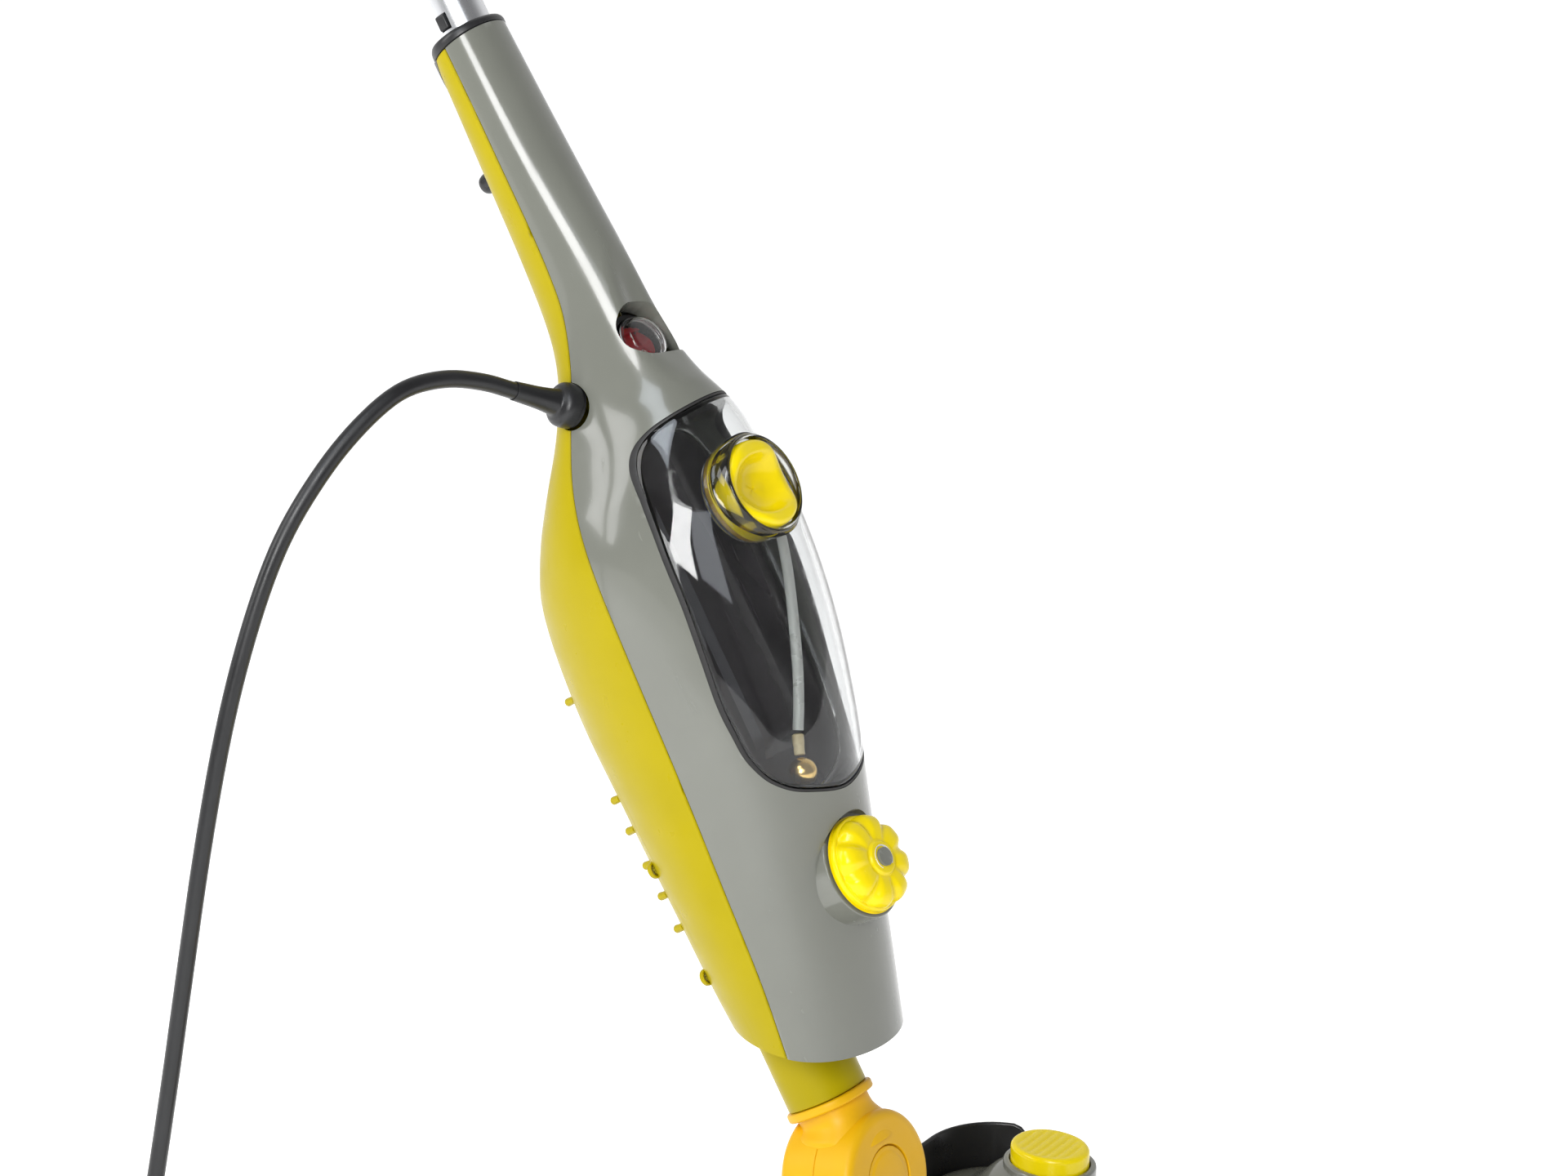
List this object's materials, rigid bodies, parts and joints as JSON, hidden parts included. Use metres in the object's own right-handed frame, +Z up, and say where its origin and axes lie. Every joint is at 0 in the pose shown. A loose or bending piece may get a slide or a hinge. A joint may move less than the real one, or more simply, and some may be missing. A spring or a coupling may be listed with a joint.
{
  "type": "steam mop",
  "caption": "Upright steam mop with a boiler body, clear water tank, steam dial, two-axis knuckle, pointed floor head, foot clip buttons, tube handle and mains cord.",
  "frame": {"origin": "centre of the sole under the knuckle's centre, on the floor", "axes": "+X towards the head's pointed front, +Y to the head's left, +Z up; the mop leans back towards -X"},
  "size_m": [0.6661, 0.5333, 1.0807],
  "materials": {
    "grey_shell": "glossy warm grey ABS",
    "lime_shell": "glossy lime yellow ABS",
    "yellow_controls": "glossy bright yellow plastic",
    "joint_orange": "satin orange-yellow nylon",
    "black_plastic": "satin black plastic",
    "dark_tray": "dark moulded plastic behind the tank",
    "clear_plastic": "clear water tank plastic",
    "black_rubber": "black seal rubber",
    "soft_grip": "soft moulded grip",
    "aluminium_tube": "satin anodised aluminium",
    "steel": "plain steel",
    "brass": "turned brass",
    "silicone": "milky silicone hose",
    "beige_plastic": "beige hose barb",
    "amber_plastic": "amber thread ring",
    "red_rocker": "translucent red rocker",
    "microfibre": "off-white microfibre pad",
    "cord_black": "black mains cord"
  },
  "bodies": {
    "floor_head": {"head_deck": "grey_shell", "base_plate": "black_plastic", "rear_skirt_left": "black_plastic", "rear_skirt_right": "black_plastic", "mop_pad": "microfibre", "axle_block_left": "black_plastic", "axle_block_right": "black_plastic", "pitch_axle": "steel", "clip_spring_left": "steel", "clip_spring_right": "steel"},
    "left_clip_button": {"clip_button_left": "yellow_controls"},
    "right_clip_button": {"clip_button_right": "yellow_controls"},
    "yoke": {"yoke_hub": "joint_orange"},
    "mop_body": {"front_cover": "grey_shell", "back_cover": "lime_shell", "bottom_plate": "dark_tray", "neck_collar": "black_plastic", "joint_neck": "joint_orange", "connector_tube": "lime_shell", "knuckle_front_shell": "joint_orange", "knuckle_rear_shell": "joint_orange", "front_pivot_cap": "joint_orange", "rear_pivot_cap": "joint_orange", "roll_pin": "steel", "cover_screw_1": "steel", "cover_screw_2": "steel", "cover_screw_3": "steel", "cover_screw_4": "steel", "cover_screw_5": "steel", "cover_screw_6": "steel", "boiler": "steel", "thermostat": "brass", "water_pump": "dark_tray", "water_pipe": "silicone", "steam_pipe": "brass", "steam_valve": "brass", "water_tank": "clear_plastic", "tank_gasket": "black_rubber", "tank_tray": "dark_tray", "cap_thread_ring": "amber_plastic", "tank_hose": "silicone", "hose_barb": "beige_plastic", "hose_sinker": "brass", "switch_housing": "black_plastic", "switch_dome": "clear_plastic", "cord_gland": "cord_black", "power_cord": "cord_black", "cord_coil": "cord_black", "mains_plug": "cord_black"},
    "steam_dial": {"steam_knob": "yellow_controls", "knob_stem": "steel"},
    "filler_cap": {"tank_cap": "yellow_controls"},
    "rocker": {"power_rocker": "red_rocker"},
    "release_button": {"tube_release_button": "black_plastic"},
    "handle": {"handle_tube": "aluminium_tube", "handle_grip": "soft_grip", "grip_end_cap": "lime_shell", "lower_cord_hook": "black_plastic"},
    "cord_hook": {"upper_cord_hook": "black_plastic"},
    "catch": {"tube_catch": "black_plastic"}
  },
  "joints": [
    {"name": "head_pitch", "type": "hinge", "parent": "floor_head", "child": "yoke", "pos_m": [0.01137, 0, 0.0394], "axis": [0, 1, 0], "range_deg": [-50, 31]},
    {"name": "head_roll", "type": "hinge", "parent": "yoke", "child": "mop_body", "pos_m": [0, 0, 0.085], "axis": [0.9703, 0, 0.2419], "range_deg": [-45, 45]},
    {"name": "left_clip_press", "type": "slide", "parent": "floor_head", "child": "left_clip_button", "axis": [0, 0, -1], "range_m": [0, 0.005], "stiffness_N_per_m": 1500, "springref_m": -0.002},
    {"name": "right_clip_press", "type": "slide", "parent": "floor_head", "child": "right_clip_button", "axis": [0, 0, -1], "range_m": [0, 0.005], "stiffness_N_per_m": 1500, "springref_m": -0.002},
    {"name": "steam_dial_turn", "type": "hinge", "parent": "mop_body", "child": "steam_dial", "pos_m": [0.00736, 0, 0.2475], "axis": [0.8572, 0, 0.515], "range_deg": [0, 300]},
    {"name": "filler_cap_turn", "type": "hinge", "parent": "mop_body", "child": "filler_cap", "pos_m": [-0.05788, 0, 0.41433], "axis": [0.8572, 0, 0.515], "range_deg": [0, 90]},
    {"name": "power_rocker_tip", "type": "hinge", "parent": "mop_body", "child": "rocker", "pos_m": [-0.12331, 0, 0.47094], "axis": [0, 1, 0], "range_deg": [0, 20]},
    {"name": "tube_release_press", "type": "slide", "parent": "mop_body", "child": "release_button", "axis": [0.8572, 0, 0.515], "range_m": [0, 0.004], "stiffness_N_per_m": 600, "springref_m": -0.002},
    {"name": "handle_pull_out", "type": "slide", "parent": "mop_body", "child": "handle", "axis": [-0.515, 0, 0.8572], "range_m": [0, 0.07]},
    {"name": "cord_hook_turn", "type": "hinge", "parent": "handle", "child": "cord_hook", "pos_m": [-0.37067, 0, 0.85917], "axis": [-0.515, 0, 0.8572], "range_deg": [0, 180]},
    {"name": "tube_catch_press", "type": "slide", "parent": "handle", "child": "catch", "axis": [0, 1, 0], "range_m": [0, 0.002], "stiffness_N_per_m": 500, "springref_m": -0.001}
  ]
}
